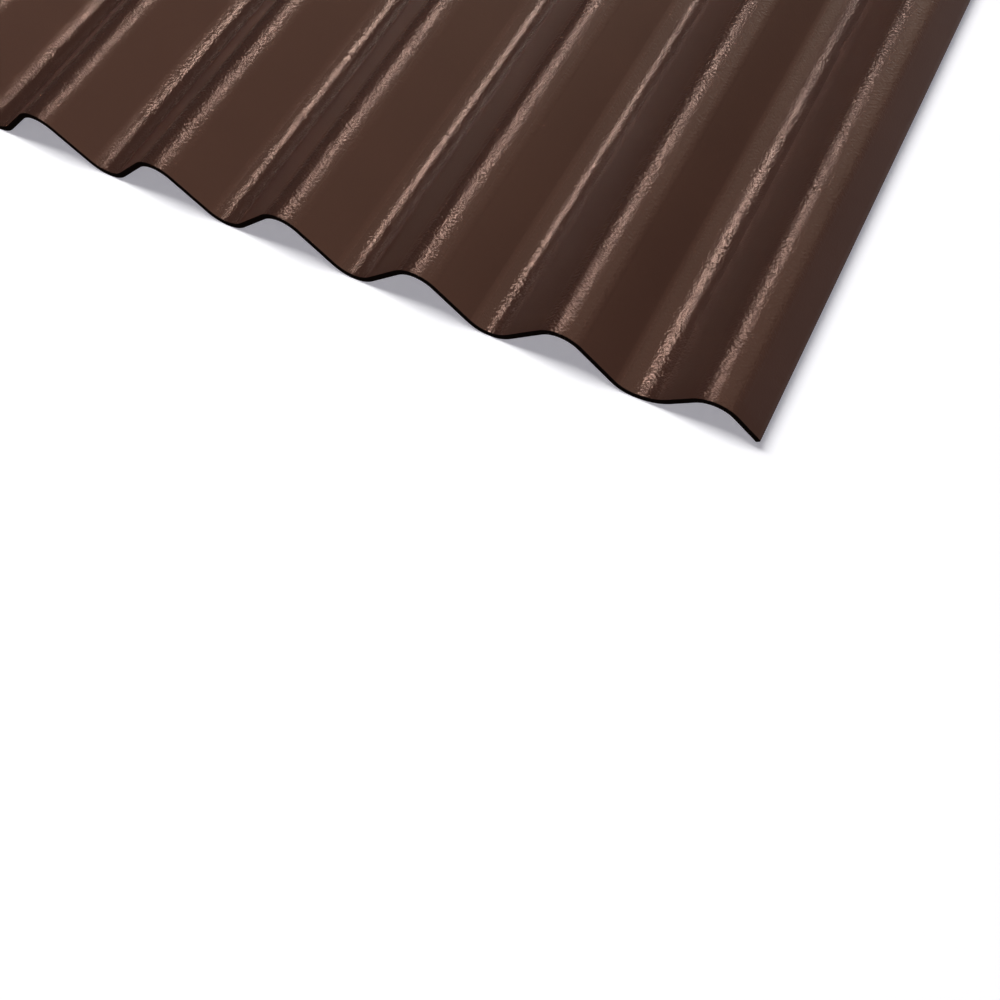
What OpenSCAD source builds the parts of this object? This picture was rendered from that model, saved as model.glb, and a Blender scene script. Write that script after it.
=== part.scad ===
// Corrugated fibre cement roofing sheet, moulded in one piece.
// It lies on its troughs, with X across the waves, Y along them and Z up. The origin is at the
// middle of the outline, on the plane that the troughs rest on.
// The edge at -X covers the next sheet. The lower wave at +X goes under the sheet beside it.

/* [Sheet] */
// Length along the waves
sheet_l = 1750; // [600:10:3000]
// Thickness, measured square to the surface
sheet_t = 5.8; // [4:0.1:8]

/* [Waves] */
// Number of crests
wave_count = 8; // [3:1:10]
// Distance from one crest to the next
wave_pitch = 150; // [125:1:190]
// Height of a crest over a trough, on the same face
wave_h = 46; // [36:1:56]
// Radius of a crest, at the middle of the thickness
crest_r = 30; // [22:1:38]
// Radius of a trough, at the middle of the thickness
trough_r = 32; // [24:1:40]

/* [Lap edges] */
// Width of the covering edge, out from the crest nearest -X
cover_w = 34; // [27:1:45]
// Width of the underlapping edge, out from the crest nearest +X
under_w = 46; // [37:1:56]
// How much lower the underlapping wave is, so that a sheet lies flush over it
under_drop = 6.5; // [4:0.5:10]
// Radius of the two long arrises of each side edge
arris_r = 1; // [0.5:0.1:1.6]

/* [Hidden] */
$fn = 96;
// Tangent outlines are laid this far over each other, so that they always cross.
overlap = 0.001;
half_pitch = micrometres(wave_pitch / 2);
half_t = micrometres(sheet_t / 2);
sheet_w = cover_w + (wave_count - 1) * 2 * half_pitch + under_w;
// A flank is straight, and tangent to the crest and the trough on either side of it.
radii = crest_r + trough_r;
flank_a = atan2(half_pitch, radii - wave_h) - acos(radii / norm([half_pitch, radii - wave_h]));
// The lower wave keeps its crest and its slope, and runs out into the last trough by this radius.
under_trough_r = micrometres(
    (half_pitch * sin(flank_a) - (wave_h - under_drop) * cos(flank_a)) / (1 - cos(flank_a)) - crest_r
);

// Whole micrometres, so that neighbouring waves meet exactly
function micrometres(x) = round(1000 * x) / 1000;

// Crest number i along X, from the covering edge
function crest_x(i) = micrometres(cover_w - sheet_w / 2) + 2 * i * half_pitch;

// The cross-section has the middle of the thickness at height 0 in the troughs.
// What lies below one face of the sheet, from a crest at X 0 to the trough beside it. The side is 1
// for the trough towards +X and -1 for the other, and the face is face_z off the middle.
module half_wave(side, face_z, crest_z = wave_h, foot_r = trough_r) {
    crest_c = [0, crest_z - crest_r];
    foot_c = [side * half_pitch, foot_r];
    crest_face_r = crest_r + face_z;
    foot_face_r = foot_r - face_z;
    square_to_flank = [side * sin(flank_a), cos(flank_a)];
    floor_z = face_z - 2 * (crest_r + sheet_t);
    outline = [
        crest_c,
        [0, floor_z],
        [side * half_pitch, floor_z],
        foot_c,
        foot_c - (foot_face_r - overlap) * square_to_flank,
        crest_c + (crest_face_r - overlap) * square_to_flank
    ];
    translate(crest_c) circle(crest_face_r);
    difference() {
        // Both sides run anticlockwise.
        polygon([for (i = [0 : 5]) outline[side > 0 ? i : 5 - i]]);
        translate(foot_c) circle(foot_face_r);
    }
}

// What lies below one face across the whole sheet, past both side edges
module below_face(face_z) {
    for (i = [0 : wave_count - 2], side = [-1, 1])
        translate([crest_x(i), 0]) half_wave(side, face_z);
    translate([crest_x(wave_count - 1), 0])
        half_wave(-1, face_z, wave_h - under_drop, under_trough_r);
    translate([crest_x(wave_count - 1), -under_drop]) half_wave(1, face_z);
}

// Cuts the sheet square to its face, edge_w out from a crest at X 0, and leaves both arrises round.
module edge_cut(edge_w) {
    arris_y = half_t - arris_r;
    // An edge past the end of the flank lies in the round of the trough.
    edge_a = asin(min(sin(flank_a), (half_pitch - edge_w + arris_r) / (trough_r - arris_y)));
    cut_x = edge_w - arris_r - arris_y * sin(edge_a);
    flank_end_x = half_pitch - trough_r * sin(edge_a);
    cut_z = trough_r * (1 - cos(edge_a)) + (flank_end_x - cut_x) * tan(edge_a);
    translate([cut_x, cut_z]) rotate(-edge_a) difference() {
        translate([0, -half_pitch]) square(wave_pitch);
        translate([-arris_r, -arris_y]) square([2 * arris_r, 2 * arris_y]);
        for (y = [-arris_y, arris_y]) translate([0, y]) circle(arris_r + overlap);
    }
}

module cross_section() {
    difference() {
        below_face(half_t);
        below_face(-half_t);
        translate([crest_x(0), 0]) mirror([1, 0]) edge_cut(cover_w);
        translate([crest_x(wave_count - 1), -under_drop]) edge_cut(under_w);
    }
}

module sheet() {
    color([0.27, 0.19, 0.16])
        translate([0, sheet_l / 2, half_t]) rotate([90, 0, 0])
            linear_extrude(sheet_l) cross_section();
}

sheet();
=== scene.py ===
"""Corrugated fibre cement sheet with a dark brown coat, lying on a white floor.

Lengths are metres. X runs across the waves, Y along them and Z up, and the troughs rest on Z 0.
"""
import math

import bpy
import numpy as np
from mathutils import Matrix, Vector


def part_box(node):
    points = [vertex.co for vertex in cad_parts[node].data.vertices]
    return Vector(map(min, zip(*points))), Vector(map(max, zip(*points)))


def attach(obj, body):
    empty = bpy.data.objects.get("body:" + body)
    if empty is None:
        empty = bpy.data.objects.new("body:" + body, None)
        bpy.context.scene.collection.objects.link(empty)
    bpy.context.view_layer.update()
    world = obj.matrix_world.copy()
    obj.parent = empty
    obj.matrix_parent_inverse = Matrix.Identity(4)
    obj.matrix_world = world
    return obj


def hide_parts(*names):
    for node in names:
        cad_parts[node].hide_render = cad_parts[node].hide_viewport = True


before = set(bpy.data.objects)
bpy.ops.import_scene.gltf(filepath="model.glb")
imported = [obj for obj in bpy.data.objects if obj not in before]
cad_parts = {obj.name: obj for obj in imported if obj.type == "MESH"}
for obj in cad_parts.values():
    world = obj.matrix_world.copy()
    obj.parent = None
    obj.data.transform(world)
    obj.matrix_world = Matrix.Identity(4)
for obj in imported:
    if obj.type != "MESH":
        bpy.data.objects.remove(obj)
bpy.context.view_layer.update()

# ---------------------------------------------------------------------------------------------
# Sizes of the sheet
# ---------------------------------------------------------------------------------------------
SHEET_T = 0.0058
WAVE_COUNT = 8
WAVE_PITCH = 0.150
WAVE_H = 0.046
CREST_R = 0.030
TROUGH_R = 0.032
COVER_W = 0.034
UNDER_W = 0.046
UNDER_DROP = 0.0065
SIDE_ARRIS_R = 0.0010
END_ARRIS_R = 0.0007

HALF_T = SHEET_T / 2
HALF_PITCH = WAVE_PITCH / 2
RADII = CREST_R + TROUGH_R
FLANK_A = (
    math.atan2(HALF_PITCH, RADII - WAVE_H)
    - math.acos(RADII / math.hypot(HALF_PITCH, RADII - WAVE_H))
)
# The lower wave keeps its crest and its slope, and runs out into the last trough by this radius.
UNDER_TROUGH_R = (
    (HALF_PITCH * math.sin(FLANK_A) - (WAVE_H - UNDER_DROP) * math.cos(FLANK_A))
    / (1 - math.cos(FLANK_A)) - CREST_R
)

# Steps of the mesh
ARC_STEPS = 10
FLANK_STEPS = 6
ARRIS_STEPS = 4
ROWS_ALONG = 96
RIM_STEPS = 4

# How far the moulded sheet strays from its drawing: its crests sag by a share of their height,
# its waves wander sideways between the two side edges, and its ends are chipped.
SAG_SHARE = 0.005
SAG_LENGTH = 0.55
WANDER = 0.0004
WANDER_LENGTH = 0.9
CHIP_DEPTH = 0.00035
CHIP_LENGTH = 0.021
CHIP_PATCH = 0.2
CHIP_REACH = 0.02
DRIFT_WAVES = 7

# The sheet stays this far inside its box.
BOX_MARGIN = 0.0001


def drift(x, y, longest, seed):
    """A smooth field from 0 to 1: a sum of sine waves in random directions, each a little shorter
    than the one before, from the longest wavelength down to 0.43 of it."""
    rng = np.random.default_rng(seed)
    total = np.zeros(np.broadcast(x, y).shape)
    for i in range(DRIFT_WAVES):
        wavelength = longest * (1 - i / (1.5 * DRIFT_WAVES))
        heading, phase = rng.uniform(0, 2 * math.pi, 2)
        way = x * math.cos(heading) + y * math.sin(heading)
        total += np.sin(2 * math.pi * way / wavelength + phase)
    return 0.5 + 0.5 * total / DRIFT_WAVES


# ---------------------------------------------------------------------------------------------
# The cross-section. Each stretch is five rows: X and Z of the middle line, the lean of its normal
# towards +X, how much an arris takes off the half thickness, and how sharply the line bends, where
# a full trough is 1.
# ---------------------------------------------------------------------------------------------
def crest_arc(crest_z):
    """From the top of a crest out to its flank: an arc of the crest's radius, by its lean."""
    lean = np.linspace(0, FLANK_A, ARC_STEPS + 1)
    return np.array([
        CREST_R * np.sin(lean),
        crest_z - CREST_R * (1 - np.cos(lean)),
        lean,
        0 * lean,
        0 * lean + TROUGH_R / CREST_R,
    ])


def half_wave(crest_z=WAVE_H, foot_r=TROUGH_R):
    """From a crest at X 0 to the trough at X half a pitch: an arc, a straight flank, an arc."""
    crest = crest_arc(crest_z)
    lean = crest[2, ::-1]
    foot = np.array([
        HALF_PITCH - foot_r * np.sin(lean),
        foot_r * (1 - np.cos(lean)),
        lean,
        0 * lean,
        0 * lean + TROUGH_R / foot_r,
    ])
    share = np.linspace(0, 1, FLANK_STEPS + 1)[1:-1]
    flank = crest[:, -1:] + share * (foot[:, :1] - crest[:, -1:])
    return np.hstack([crest, flank, foot])


def lap_edge(edge_w):
    """From a crest at X 0 to a cut square to the flank: an arc, the straight flank, and an arris
    that takes r (1 - cos a) off the half thickness at r sin a past its start."""
    crest = crest_arc(WAVE_H)
    across, down = math.cos(FLANK_A), -math.sin(FLANK_A)
    cut_x = edge_w - SIDE_ARRIS_R - (HALF_T - SIDE_ARRIS_R) * math.sin(FLANK_A)
    run = (cut_x - crest[0, -1]) / across
    turn = np.linspace(0, math.pi / 2, ARRIS_STEPS + 1)[1:]
    way = np.append(run * np.linspace(0, 1, FLANK_STEPS + 1)[1:], run + SIDE_ARRIS_R * np.sin(turn))
    trim = np.append(np.zeros(FLANK_STEPS), SIDE_ARRIS_R * (1 - np.cos(turn)))
    flank = np.array([
        crest[0, -1] + way * across,
        crest[1, -1] + way * down,
        FLANK_A + 0 * way,
        trim,
        0 * way + TROUGH_R / CREST_R,
    ])
    return np.hstack([crest, flank])


def turned(stretch):
    """The same stretch on the other side of its crest, in the order that keeps X rising."""
    return (stretch * np.array([[-1], [1], [-1], [1], [1]]))[:, ::-1]


def placed(stretch, crest_x, drop=0.0):
    """The stretch with its crest moved to crest_x and lowered by drop."""
    return stretch + np.array([[crest_x], [-drop], [0], [0], [0]])


def cross_section():
    """The whole middle line from the covering edge at -X to the underlapping edge at +X."""
    sheet_w = COVER_W + (WAVE_COUNT - 1) * WAVE_PITCH + UNDER_W
    crest_x = COVER_W - sheet_w / 2 + WAVE_PITCH * np.arange(WAVE_COUNT)
    stretches = [placed(turned(lap_edge(COVER_W)), crest_x[0])]
    for i in range(WAVE_COUNT - 1):
        last = i == WAVE_COUNT - 2
        rising = half_wave(WAVE_H - UNDER_DROP, UNDER_TROUGH_R) if last else half_wave()
        stretches.append(placed(half_wave(), crest_x[i]))
        stretches.append(placed(turned(rising), crest_x[i + 1]))
    stretches.append(placed(lap_edge(UNDER_W), crest_x[-1], UNDER_DROP))
    return np.hstack([stretches[0]] + [s[:, 1:] for s in stretches[1:]])


def rows_along(front_y, back_y):
    """Places along the sheet, even but for the arrises at both ends, and how much those take off
    the half thickness there: r (1 - cos a) at r (1 - sin a) from the end."""
    turn = np.linspace(math.pi / 2, 0, ARRIS_STEPS + 1)
    inset = END_ARRIS_R * (1 - np.sin(turn))
    trim = END_ARRIS_R * (1 - np.cos(turn))
    middle = np.linspace(front_y + inset[-1], back_y - inset[-1], ROWS_ALONG)[1:-1]
    y = np.concatenate([front_y + inset, middle, (back_y - inset)[::-1]])
    return y, np.concatenate([trim, 0 * middle, trim[::-1]])


# ---------------------------------------------------------------------------------------------
# The mesh: a grid for each face, and a rim round them
# ---------------------------------------------------------------------------------------------
COAT, CUT, UNDERSIDE = range(3)

# Where more than this is off the half thickness, it is an arris.
LEAST_TRIM = 1e-6


def grid_quads(index):
    """The quads of a grid of vertex numbers, anticlockwise where its axes are +X and +Y."""
    return np.stack([index[:-1, :-1], index[1:, :-1], index[1:, 1:], index[:-1, 1:]], -1).reshape(-1, 4)


def border(index):
    """The vertex numbers round a grid, anticlockwise from its first corner."""
    return np.concatenate([index[:-1, 0], index[-1, :-1], index[:0:-1, -1], index[0, :0:-1]])


def new_mesh(name, vertices, quads, finish, way, relief):
    """A smooth mesh of quads: a finish number for each, a UV map in metres, and two attributes of
    its vertices: how level the sheet lies there, and how sharply it bends."""
    mesh = bpy.data.meshes.new(name)
    mesh.vertices.add(len(vertices))
    mesh.vertices.foreach_set("co", vertices.astype(np.float32).ravel())
    mesh.loops.add(quads.size)
    mesh.loops.foreach_set("vertex_index", quads.astype(np.int32).ravel())
    mesh.polygons.add(len(quads))
    mesh.polygons.foreach_set("loop_start", np.arange(0, quads.size, 4, dtype=np.int32))
    mesh.polygons.foreach_set("material_index", finish.astype(np.int32))
    mesh.update(calc_edges=True)
    mesh.shade_smooth()
    uv = mesh.uv_layers.new(name="across_along")
    uv.data.foreach_set("uv", way[quads.ravel()].astype(np.float32).ravel())
    for attribute, value in relief.items():
        data = mesh.attributes.new(attribute, "FLOAT", "POINT").data
        data.foreach_set("value", value.astype(np.float32))
    mesh.validate()
    return mesh


def moulded_middle(x, y, z):
    """The middle of the sheet on the grid of X and Y, strayed from its drawing: Z less a share of
    itself, X moved where no side edge is near, and Y moved inwards near the ends."""
    near_side = np.clip(1 - (x.max() - np.abs(x)) / WAVE_PITCH, 0, 1)
    near_end = np.clip(1 - np.minimum(y - y[0], y[-1] - y) / CHIP_REACH, 0, 1)
    chip = CHIP_DEPTH * drift(x, z, CHIP_LENGTH, seed=8) * drift(x, z, CHIP_PATCH, seed=9)
    return np.stack(np.broadcast_arrays(
        x + WANDER * (1 - near_side) * (2 * drift(x, y, WANDER_LENGTH, seed=3) - 1),
        y + np.where(y < 0, 1, -1) * chip * near_end,
        HALF_T + z * (1 - SAG_SHARE * drift(x, y, SAG_LENGTH, seed=5)),
    ), -1)


def make_sheet(low, high):
    """The sheet between the two corners of its box: the cross-section carried along Y, with the
    top and the underside half the thickness off its middle along the normal. It is then scaled by
    a little in Z and X to fill the box less its margin."""
    x, z, lean, side_trim, bend = cross_section()[:, :, None]
    y, end_trim = rows_along(low.y + BOX_MARGIN, high.y - BOX_MARGIN)
    half_t = HALF_T - np.maximum(side_trim, end_trim)

    middle = moulded_middle(x, y, z)
    normal = np.stack(np.broadcast_arrays(np.sin(lean), 0 * y, np.cos(lean)), -1)
    top = middle + normal * half_t[..., None]
    under = middle - normal * half_t[..., None]
    box_scale = (high.z - low.z - 2 * BOX_MARGIN) / (top[..., 2].max() - under[..., 2].min())
    for face in (top, under):
        face[..., 2] = low.z + BOX_MARGIN + face[..., 2] * box_scale
        face[..., 0] *= 1 - BOX_MARGIN / high.x

    count = half_t.size
    top_index = np.arange(count).reshape(half_t.shape)
    under_index = top_index + count
    top_border, under_border = border(top_index), border(under_index)
    rim_index = 2 * count + np.arange((RIM_STEPS - 1) * len(top_border)).reshape(RIM_STEPS - 1, -1)
    rim_rows = np.vstack([under_border, rim_index, top_border])
    rim_rows = np.hstack([rim_rows, rim_rows[:, :1]])

    faces = np.vstack([top.reshape(-1, 3), under.reshape(-1, 3)])
    share = np.linspace(0, 1, RIM_STEPS + 1)[1:-1, None, None]
    rim = faces[under_border] + share * (faces[top_border] - faces[under_border])
    vertices = np.vstack([faces, rim.reshape(-1, 3)])

    run = np.hypot(np.diff(x[:, 0]), np.diff(z[:, 0]))
    across = np.append(0, np.cumsum(run))[:, None]
    way = np.stack(np.broadcast_arrays(across, y), -1).reshape(-1, 2)
    way = np.vstack([way, way, np.tile(way[top_border], (RIM_STEPS - 1, 1))])
    relief = {}
    for attribute, row in (("level", 1 - np.abs(lean) / FLANK_A), ("bend", bend)):
        row = np.broadcast_to(row, half_t.shape).ravel()
        relief[attribute] = np.concatenate([row, row, np.tile(row[top_border], RIM_STEPS - 1)])

    quads = [grid_quads(top_index), grid_quads(under_index)[:, ::-1], grid_quads(rim_rows.T)]
    trimmed = (half_t < HALF_T - LEAST_TRIM).ravel()
    arris = trimmed[quads[0]].any(1)
    finish = [
        np.where(arris, CUT, COAT),
        np.where(arris, CUT, UNDERSIDE),
        np.full(len(quads[2]), CUT),
    ]
    return new_mesh("coated_sheet", vertices, np.vstack(quads), np.concatenate(finish), way, relief)


# ---------------------------------------------------------------------------------------------
# Shader nodes
# ---------------------------------------------------------------------------------------------
class Value:
    """An output of a node. Arithmetic on it adds the Math nodes that work the result out."""

    def __init__(self, nodes, socket):
        self.nodes, self.socket = nodes, socket

    def __add__(self, other):
        return self.nodes.math("ADD", self, other)

    def __sub__(self, other):
        return self.nodes.math("SUBTRACT", self, other)

    def __rsub__(self, other):
        return self.nodes.math("SUBTRACT", other, self)

    def __mul__(self, other):
        return self.nodes.math("MULTIPLY", self, other)

    __radd__ = __add__
    __rmul__ = __mul__


class Nodes:
    """A node tree that is built by calls, each of which adds one node and returns its output."""

    def __init__(self, tree):
        self.tree = tree
        tree.nodes.clear()

    def add(self, kind, settings, inputs, output=0):
        """Adds a node, sets its settings first, then sets or links its inputs."""
        node = self.tree.nodes.new(kind)
        for name, setting in settings.items():
            if name == "stops":
                self.set_stops(node.color_ramp, setting)
            else:
                setattr(node, name, setting)
        for name, value in inputs.items():
            if isinstance(value, Value):
                self.tree.links.new(value.socket, node.inputs[name])
            else:
                node.inputs[name].default_value = value
        return Value(self, node.outputs[output] if node.outputs else None)

    @staticmethod
    def set_stops(ramp, stops):
        """Gives a colour ramp its two stops, each a place and a grey."""
        for element, (place, grey) in zip(ramp.elements, stops):
            element.position = place
            element.color = (grey, grey, grey, 1)

    def math(self, operation, a, b):
        """One step of arithmetic on two numbers."""
        return self.add("ShaderNodeMath", {"operation": operation}, {0: a, 1: b})

    def mix(self, share, a, b):
        """Colour a where the share is 0, and colour b where it is 1."""
        return self.add("ShaderNodeMix", {"data_type": "RGBA"}, {0: share, 6: a, 7: b}, output=2)

    def stretch(self, place, scale):
        """The place with each of its axes scaled."""
        return self.add("ShaderNodeVectorMath", {"operation": "MULTIPLY"}, {0: place, 1: scale})

    def noise(self, place, scale, detail, roughness=0.5):
        """Smooth noise round 0.5, with scale features to each unit of the place."""
        return self.add("ShaderNodeTexNoise", {}, {
            "Vector": place, "Scale": scale, "Detail": detail, "Roughness": roughness,
        })

    def ramp(self, value, first, last):
        """A grey that runs between two stops, each a value and the grey there."""
        return self.add("ShaderNodeValToRGB", {"stops": (first, last)}, {"Fac": value})

    def bump(self, height, depth):
        """A surface normal for a height from 0 to 1 that stands for depth metres."""
        return self.add("ShaderNodeBump", {}, {"Height": height, "Distance": depth, "Strength": 1.0})

    def seen(self):
        """1 in the view, in reflections and through glass, and 0 for the light on matt faces."""
        path = self.add("ShaderNodeLightPath", {}, {}, output="Is Camera Ray")
        glossy = Value(self, path.socket.node.outputs["Is Glossy Ray"])
        through = Value(self, path.socket.node.outputs["Is Transmission Ray"])
        return self.math("MAXIMUM", self.math("MAXIMUM", path, glossy), through)

    def surface(self, shader):
        """Puts the shader on the material's surface."""
        self.add("ShaderNodeOutputMaterial", {}, {"Surface": shader})


def new_finish(name):
    """A new material and its empty nodes."""
    material = bpy.data.materials.new(name)
    material.use_nodes = True
    return material, Nodes(material.node_tree)


def rgb(red, green, blue):
    """An opaque colour."""
    return (red, green, blue, 1)


# ---------------------------------------------------------------------------------------------
# Finishes
# ---------------------------------------------------------------------------------------------
COAT_BROWN = rgb(0.048, 0.0220, 0.0162)
COAT_DARK = rgb(0.044, 0.0201, 0.0150)
COAT_GLOSS_TINT = rgb(1.0, 0.68, 0.58)
COAT_RELIEF = 0.0016
STROKES_PER_METRE = (210, 470, 1)
STROKE_LEAN = 0.55
FLANK_ROUGHNESS = 0.36

# Painted shade: the cut faces are coloured nearly black, far darker than the coat, to stand for the
# shade on them
CUT_SHADE_BLACK = rgb(0.003, 0.002, 0.0016)
CUT_SHADE_BROWN = rgb(0.008, 0.005, 0.004)
CUT_RELIEF = 0.0002

CEMENT_DARK = rgb(0.24, 0.23, 0.22)
CEMENT_PALE = rgb(0.36, 0.35, 0.33)
FELT_RELIEF = 0.00025
WARP_PER_METRE = (900, 200, 1)
WEFT_PER_METRE = (200, 900, 1)


def strokes(nodes, way, lean, shift):
    """Short strokes, about 5 mm long and 2 mm wide, that lean from straight across the waves."""
    leaning = nodes.add("ShaderNodeMapping", {}, {
        "Vector": way, "Rotation": (0, 0, lean), "Location": (shift, 0, 0),
    })
    return nodes.noise(nodes.stretch(leaning, STROKES_PER_METRE), 1, detail=1)


def brown_coat():
    """Semi-gloss acrylic coat over the feathered texture of the cement. The level is 0 on a flank
    and 1 on the top of a crest or the bottom of a trough, and the height is above the floor."""
    material, nodes = new_finish("brown_coat")
    way = nodes.add("ShaderNodeUVMap", {"uv_map": "across_along"}, {})
    level = nodes.add("ShaderNodeAttribute", {"attribute_name": "level"}, {}, output="Fac")
    bend = nodes.add("ShaderNodeAttribute", {"attribute_name": "bend"}, {}, output="Fac")
    height = nodes.add("ShaderNodeSeparateXYZ", {}, {
        "Vector": nodes.add("ShaderNodeTexCoord", {}, {}, output="Object"),
    }, output="Z")
    patches = nodes.ramp(nodes.noise(way, 9, detail=3), (0.35, 0), (0.65, 1))

    # Two sets of strokes cross each other, and stand out on the rounds, most of all on the crests
    grain = nodes.noise(way, 420, detail=2)
    feathered = strokes(nodes, way, STROKE_LEAN, 0.0) + strokes(nodes, way, -STROKE_LEAN, 3.7)
    rounded = nodes.ramp(level, (0.02, 0.0), (0.38, 1.0))
    depth = 0.02 + rounded * (0.8 + bend * 0.2) * (0.215 + height * 2.8)

    # The rounds are smoother than the flanks, and the troughs, where the wet coat ran, the most
    polished = nodes.ramp(level, (0.24, 0.0), (0.48, 1.0))
    polish = 0.27 - bend * 0.04 - height * 2.1

    shader = nodes.add("ShaderNodeBsdfPrincipled", {}, {
        "Base Color": nodes.mix(patches, COAT_DARK, COAT_BROWN),
        "Roughness": FLANK_ROUGHNESS - polished * polish,
        "Normal": nodes.bump(feathered * depth + grain * 0.04, COAT_RELIEF),
        "Specular IOR Level": 0.22,
        "Specular Tint": COAT_GLOSS_TINT,
    })
    nodes.surface(shader)
    return material


def painted_shade_cut():
    """The sawn ends and side edges, coloured nearly black as painted shade, with random grit in the
    tone.
    """
    material, nodes = new_finish("painted_shade_cut")
    place = nodes.add("ShaderNodeTexCoord", {}, {}, output="Object")
    grit = nodes.noise(place, 700, detail=3, roughness=0.7)
    shader = nodes.add("ShaderNodeBsdfPrincipled", {}, {
        "Base Color": nodes.mix(grit, CUT_SHADE_BLACK, CUT_SHADE_BROWN),
        "Roughness": 0.7,
        "Normal": nodes.bump(grit, CUT_RELIEF),
        "Specular IOR Level": 0.0,
    })
    nodes.surface(shader)
    return material


def grey_underside():
    """Bare cement with the fine imprint of the felt that it was pressed on."""
    material, nodes = new_finish("grey_underside")
    way = nodes.add("ShaderNodeUVMap", {"uv_map": "across_along"}, {})
    cloud = nodes.noise(way, 14, detail=4, roughness=0.6)
    warp = nodes.noise(nodes.stretch(way, WARP_PER_METRE), 1, detail=1)
    weft = nodes.noise(nodes.stretch(way, WEFT_PER_METRE), 1, detail=1)
    felt = warp * 0.5 + weft * 0.5
    tone = nodes.ramp(cloud * 0.7 + felt * 0.3, (0.35, 0), (0.65, 1))
    shader = nodes.add("ShaderNodeBsdfPrincipled", {}, {
        "Base Color": nodes.mix(tone, CEMENT_DARK, CEMENT_PALE),
        "Roughness": 0.85,
        "Normal": nodes.bump(felt, FELT_RELIEF),
        "Specular IOR Level": 0.3,
    })
    nodes.surface(shader)
    return material


# ---------------------------------------------------------------------------------------------
# Stage: a white floor, a dark flag on each side and a pale room
# ---------------------------------------------------------------------------------------------
FLOOR_SIZE = 40.0
FLOOR_WHITE = rgb(0.88, 0.88, 0.88)
FLOOR_GLOW = rgb(0.92, 0.90, 1.0)
FLOOR_LIFT = 0.32

FLAG_X = 1.2
FLAG_HALF_L = 4.0
FLAG_FOOT = 0.005
FLAG_TOP = 1.3
FLAG_LIGHT = 0.05

# What the walls show, what the room gives to matt faces, and the sines of the elevations at which
# the walls start to fade and have faded
WALL_LIGHT = 0.65
ROOM_LIGHT = 0.05
WALL_SINE = 0.38
CEILING_SINE = 0.58


def white_floor():
    """A matt floor that shows white to the camera and in reflections, and keeps the shadow."""
    material, nodes = new_finish("white_floor")
    matt = nodes.add("ShaderNodeBsdfDiffuse", {}, {"Color": FLOOR_WHITE})
    lift = nodes.seen() * FLOOR_LIFT
    glow = nodes.add("ShaderNodeEmission", {}, {"Color": FLOOR_GLOW, "Strength": lift})
    nodes.surface(nodes.add("ShaderNodeAddShader", {}, {0: matt, 1: glow}))
    return material


def dark_cloth():
    """An even dark grey that no light changes."""
    material, nodes = new_finish("dark_cloth")
    nodes.surface(nodes.add("ShaderNodeEmission", {}, {"Strength": FLAG_LIGHT}))
    return material


def new_stage(name, corners, finish):
    """One flat face that isn't part of the object."""
    mesh = bpy.data.meshes.new(name)
    mesh.from_pydata(corners, [], [(0, 1, 2, 3)])
    mesh.materials.append(finish)
    stage = bpy.data.objects.new(name, mesh)
    bpy.context.scene.collection.objects.link(stage)
    return stage


def make_floor(level):
    """A large flat square at the height that the sheet rests on."""
    half = FLOOR_SIZE / 2
    corners = [(-half, -half, level), (half, -half, level), (half, half, level), (-half, half, level)]
    return new_stage("floor", corners, white_floor())


def make_flag(name, x):
    """An upright dark panel along Y that only the gloss sees. It keeps the pale walls out of the
    flanks, and casts no shadow."""
    front, back = -FLAG_HALF_L, FLAG_HALF_L
    corners = [(x, front, FLAG_FOOT), (x, back, FLAG_FOOT), (x, back, FLAG_TOP), (x, front, FLAG_TOP)]
    flag = new_stage(name, corners, dark_cloth())
    flag.visible_camera = flag.visible_diffuse = flag.visible_shadow = False


def make_room():
    """Pale walls and a dark ceiling, as far as the camera and the gloss see them, and a little
    light from all round on what is matt."""
    world = bpy.data.worlds.new("room")
    world.use_nodes = True
    bpy.context.scene.world = world
    nodes = Nodes(world.node_tree)
    way = nodes.add("ShaderNodeTexCoord", {}, {}, output="Generated")
    rise = nodes.add("ShaderNodeSeparateXYZ", {}, {"Vector": way}, output="Z")
    walls = nodes.ramp(rise, (WALL_SINE, WALL_LIGHT - ROOM_LIGHT), (CEILING_SINE, 0.0))
    strength = nodes.seen() * walls + ROOM_LIGHT
    room = nodes.add("ShaderNodeBackground", {}, {"Color": rgb(1, 1, 1), "Strength": strength})
    nodes.add("ShaderNodeOutputWorld", {}, {"Surface": room})


# ---------------------------------------------------------------------------------------------
# Lamps and camera
# ---------------------------------------------------------------------------------------------
# A lamp's two edges, each given by X and Z, and its radiance in red, green and blue
SHEET_LIGHT_EDGES = ((-5.0, 20.0), (11.0, 20.0))
FLOOR_LIGHT_EDGES = ((-19.0, 20.0), (-1.4, 20.0))
SHEET_LIGHT = (8.9, 8.9, 8.9)
FLOOR_LIGHT = (13.9, 13.9, 13.9)

STRIP_EDGES = ((-0.587, 1.843), (-0.493, 1.877))
STRIP_LIGHT = (103, 92.5, 83.5)
DIM_STRIP_LIGHT = (60, 53.5, 48.5)

SOFT_BOX_TOP = (-0.30, 2.30)
SOFT_BOX_FOLD = (0.81, 0.365)
SOFT_BOX_FOOT = (0.90, 0.21)
SOFT_BOX_LIGHT = (1.80, 1.58, 1.30)
LOW_SOFT_BOX_LIGHT = (0.84, 0.66, 0.50)

# The camera's direction in degrees, its lens in millimetres, and its place from the sheet's near
# right corner
CAMERA_AZIMUTH = 33.20
CAMERA_ELEVATION = 65.39
CAMERA_ROLL = -5.92
CAMERA_LENS = 37.05
CAMERA_SENSOR = 36
CAMERA_FROM_CORNER = Vector((0.0249, -0.4613, 0.8221))


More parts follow.
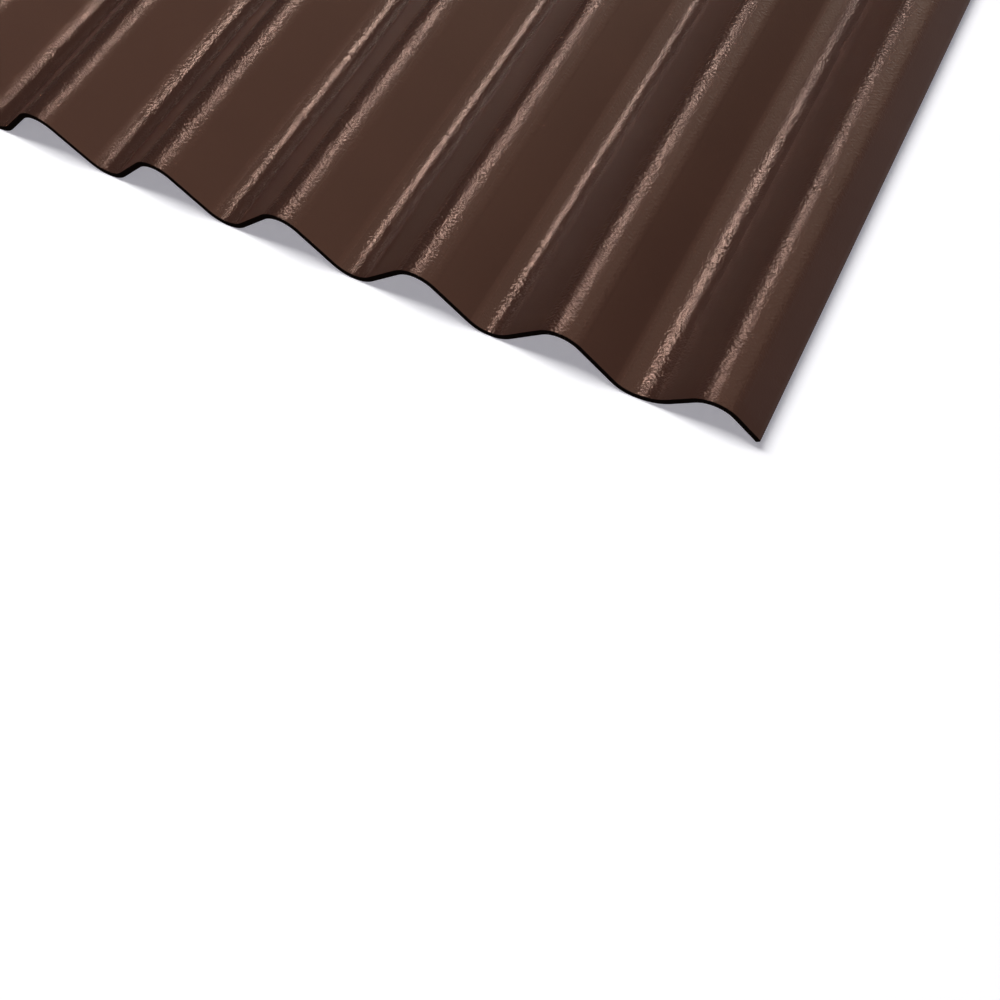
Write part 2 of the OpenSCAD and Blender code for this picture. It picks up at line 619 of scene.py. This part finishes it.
def make_lamp(name, edges, middle_y, length, radiance, lit=None):
    """A rectangle between two edges along Y that lights what is below it. It lights only the matt
    faces of the object lit, and where none is given it shows only in the gloss."""
    (x_0, z_0), (x_1, z_1) = edges
    width = math.hypot(x_1 - x_0, z_1 - z_0)
    brightest = max(radiance)
    light = bpy.data.lights.new(name, "AREA")
    light.shape = "RECTANGLE"
    light.size, light.size_y = width, length
    light.energy = brightest * math.pi * width * length
    light.color = [channel / brightest for channel in radiance]
    lamp = bpy.data.objects.new(name, light)
    across = Vector((x_1 - x_0, 0, z_1 - z_0)) / width
    along = Vector((0, 1, 0))
    turn = Matrix((across, along, across.cross(along))).transposed()
    centre = Vector(((x_0 + x_1) / 2, middle_y, (z_0 + z_1) / 2))
    lamp.matrix_world = Matrix.Translation(centre) @ turn.to_4x4()
    lamp.visible_camera = False
    lamp.visible_diffuse = lit is not None
    lamp.visible_glossy = lit is None
    if lit:
        lamp.light_linking.receiver_collection = bpy.data.collections.new(name + "_lights")
        lamp.light_linking.receiver_collection.objects.link(lit)
    bpy.context.scene.collection.objects.link(lamp)


def make_camera(near_corner):
    """Looks down on the near right corner, rolled about its own line of sight."""
    azimuth, elevation, roll = map(math.radians, (CAMERA_AZIMUTH, CAMERA_ELEVATION, CAMERA_ROLL))
    back = Vector((
        math.sin(azimuth) * math.cos(elevation),
        -math.cos(azimuth) * math.cos(elevation),
        math.sin(elevation),
    ))
    level = Vector((math.cos(azimuth), math.sin(azimuth), 0))
    right = math.cos(roll) * level + math.sin(roll) * back.cross(level)
    turn = Matrix((right, back.cross(right), back)).transposed()
    data = bpy.data.cameras.new("camera")
    data.sensor_width = CAMERA_SENSOR
    data.lens = CAMERA_LENS
    camera = bpy.data.objects.new("camera", data)
    camera.matrix_world = Matrix.Translation(near_corner + CAMERA_FROM_CORNER) @ turn.to_4x4()
    bpy.context.scene.collection.objects.link(camera)
    bpy.context.scene.camera = camera


# ---------------------------------------------------------------------------------------------
# The scene
# ---------------------------------------------------------------------------------------------
low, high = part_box("sheet")

coated_sheet = bpy.data.objects.new("coated_sheet", make_sheet(low, high))
bpy.context.scene.collection.objects.link(coated_sheet)
# In the order of COAT, CUT and UNDERSIDE
for finish in (brown_coat(), painted_shade_cut(), grey_underside()):
    coated_sheet.data.materials.append(finish)
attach(coated_sheet, "root")
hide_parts("sheet")

floor = make_floor(low.z)
make_camera(Vector((high.x, low.y, low.z)))
make_room()

# Plain light from overhead
make_lamp("sheet_light", SHEET_LIGHT_EDGES, 0.0, 8.0, SHEET_LIGHT, lit=coated_sheet)
make_lamp("floor_light", FLOOR_LIGHT_EDGES, -0.8, 6.6, FLOOR_LIGHT, lit=floor)

# What shows in the gloss of the waves
make_lamp("strip_light", STRIP_EDGES, 0.68, 1.2, STRIP_LIGHT)
make_lamp("far_strip_light", STRIP_EDGES, 1.57, 0.58, DIM_STRIP_LIGHT)
make_lamp("soft_box", (SOFT_BOX_TOP, SOFT_BOX_FOLD), 0.0, 6.0, SOFT_BOX_LIGHT)
make_lamp("low_soft_box", (SOFT_BOX_FOLD, SOFT_BOX_FOOT), 0.0, 6.0, LOW_SOFT_BOX_LIGHT)
make_lamp("back_strip_light", STRIP_EDGES, -2.4, 4.0, DIM_STRIP_LIGHT)
make_flag("right_flag", FLAG_X)
make_flag("left_flag", -FLAG_X)

bpy.context.scene.view_settings.view_transform = "Standard"
